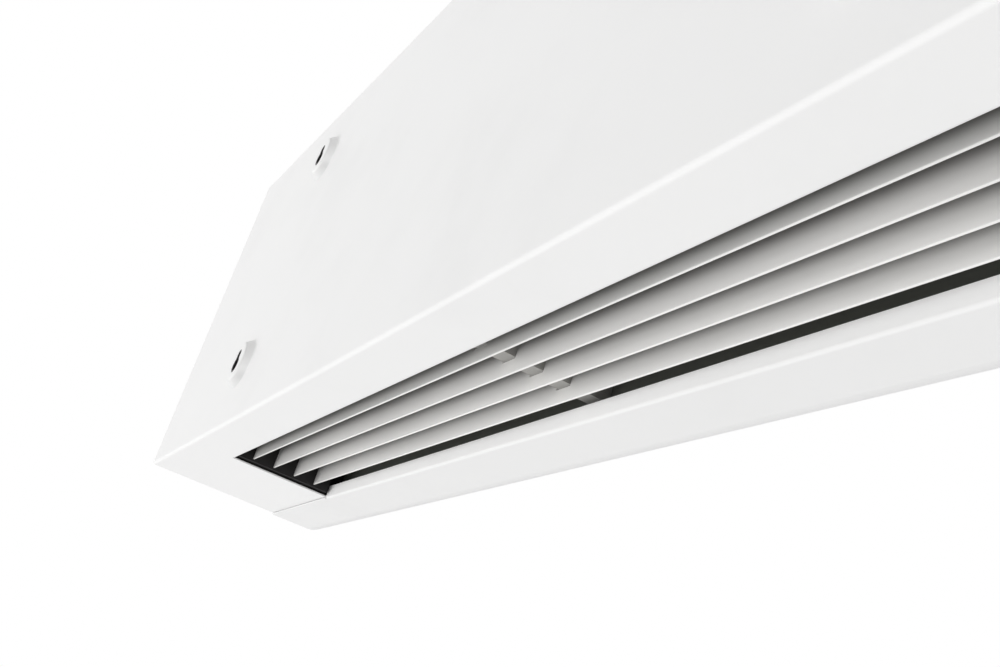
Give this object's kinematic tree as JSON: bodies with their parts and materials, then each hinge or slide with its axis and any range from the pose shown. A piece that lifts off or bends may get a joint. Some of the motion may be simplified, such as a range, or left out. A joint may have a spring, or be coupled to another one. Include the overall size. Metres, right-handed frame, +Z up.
{
  "type": "air curtain",
  "caption": "Long sheet-steel air curtain for a doorway, with keyhole wall bosses, hinged front cover, cross-flow fan and tilting outlet slats.",
  "frame": {"origin": "centre of the four keyholes' round parts, on the plane where the bosses rest on the wall", "axes": "+X along the casing, +Y into the wall, +Z up; the front of the unit faces -Y"},
  "size_m": [1.25, 0.2144, 0.372],
  "materials": {
    "shell_paint": "fine-textured white powder coat",
    "cover_paint": "fine-textured white powder coat",
    "hinge_paint": "white powder coat",
    "slat_paint": "satin light grey coat",
    "bar_paint": "satin light grey coat",
    "galvanised_steel": "dull zinc coating",
    "duct_coating": "matt black coat",
    "black_plastic": "moulded, fine grain",
    "black_rubber": "moulded rubber",
    "loom_sleeve": "sleeved wires",
    "rotor_aluminium": "plain rolled sheet",
    "bright_steel": "ground and plated",
    "zinc_screws": "bright zinc plate",
    "motor_metal": "grey lacquer on castings",
    "white_plastic": "moulded nylon",
    "grille_plastic": "moulded, satin white",
    "board_laminate": "green solder mask",
    "brass_stud": "turned brass",
    "filter_fabric": "open knitted mesh"
  },
  "bodies": {
    "casing": {"back_shell": "shell_paint", "end_panel_left": "shell_paint", "end_panel_right": "shell_paint", "end_panel_screws": "zinc_screws", "hinge_leaves_fixed": "hinge_paint", "hinge_pins": "bright_steel", "scroll_rear_wall": "galvanised_steel", "duct_front_wall": "duct_coating", "duct_end_plate_left": "galvanised_steel", "duct_end_plate_right": "galvanised_steel", "slat_holder_left": "black_plastic", "slat_holder_right": "black_plastic", "slat_support_bar": "bar_paint", "motor_bracket": "galvanised_steel", "motor_rubber_mounts": "black_rubber", "motor_body": "motor_metal", "motor_screws": "zinc_screws", "bearing_housing": "galvanised_steel", "bearing_rubber_ring": "black_rubber", "rotor_bearing": "bright_steel", "bearing_screws": "zinc_screws", "control_tray": "galvanised_steel", "terminal_block": "white_plastic", "circuit_board": "board_laminate", "run_capacitor": "white_plastic", "capacitor_clamp": "galvanised_steel", "earth_stud": "brass_stud", "wiring_loom": "loom_sleeve", "loom_grommets": "black_rubber", "cable_glands": "black_plastic", "gland_locknuts": "black_plastic", "threaded_inserts": "zinc_screws"},
    "cover": {"front_cover": "cover_paint", "hinge_leaves_moving": "hinge_paint", "cover_screws": "zinc_screws", "intake_grille": "grille_plastic", "filter_frame": "black_plastic", "filter_mesh": "filter_fabric", "filter_clips": "galvanised_steel"},
    "fan": {"fan_rotor": "rotor_aluminium", "stub_shaft_left": "bright_steel", "stub_shaft_right": "bright_steel", "shaft_coupling": "black_rubber", "motor_shaft": "bright_steel"},
    "slat_1": {"slat_1": "slat_paint", "slat_1_pins": "bright_steel"},
    "slat_2": {"slat_2": "slat_paint", "slat_2_pins": "bright_steel"},
    "slat_3": {"slat_3": "slat_paint", "slat_3_pins": "bright_steel"},
    "slat_4": {"slat_4": "slat_paint", "slat_4_pins": "bright_steel"}
  },
  "joints": [
    {"name": "cover_hinge", "type": "hinge", "parent": "casing", "child": "cover", "pos_m": [0, -0.177, 0.1825], "axis": [-1, 0, 0], "range_deg": [0, 90]},
    {"name": "fan_spin", "type": "hinge", "parent": "casing", "child": "fan", "pos_m": [0, -0.115, 0.041], "axis": [1, 0, 0], "continuous": true},
    {"name": "slat_1_tilt", "type": "hinge", "parent": "casing", "child": "slat_1", "pos_m": [0, -0.0655, -0.1385], "axis": [1, 0, 0], "range_deg": [-15, 15]},
    {"name": "slat_2_tilt", "type": "hinge", "parent": "casing", "child": "slat_2", "pos_m": [0, -0.0869, -0.1385], "axis": [1, 0, 0], "range_deg": [-15, 15]},
    {"name": "slat_3_tilt", "type": "hinge", "parent": "casing", "child": "slat_3", "pos_m": [0, -0.1083, -0.1385], "axis": [1, 0, 0], "range_deg": [-15, 15]},
    {"name": "slat_4_tilt", "type": "hinge", "parent": "casing", "child": "slat_4", "pos_m": [0, -0.1297, -0.1385], "axis": [1, 0, 0], "range_deg": [-15, 15]}
  ]
}
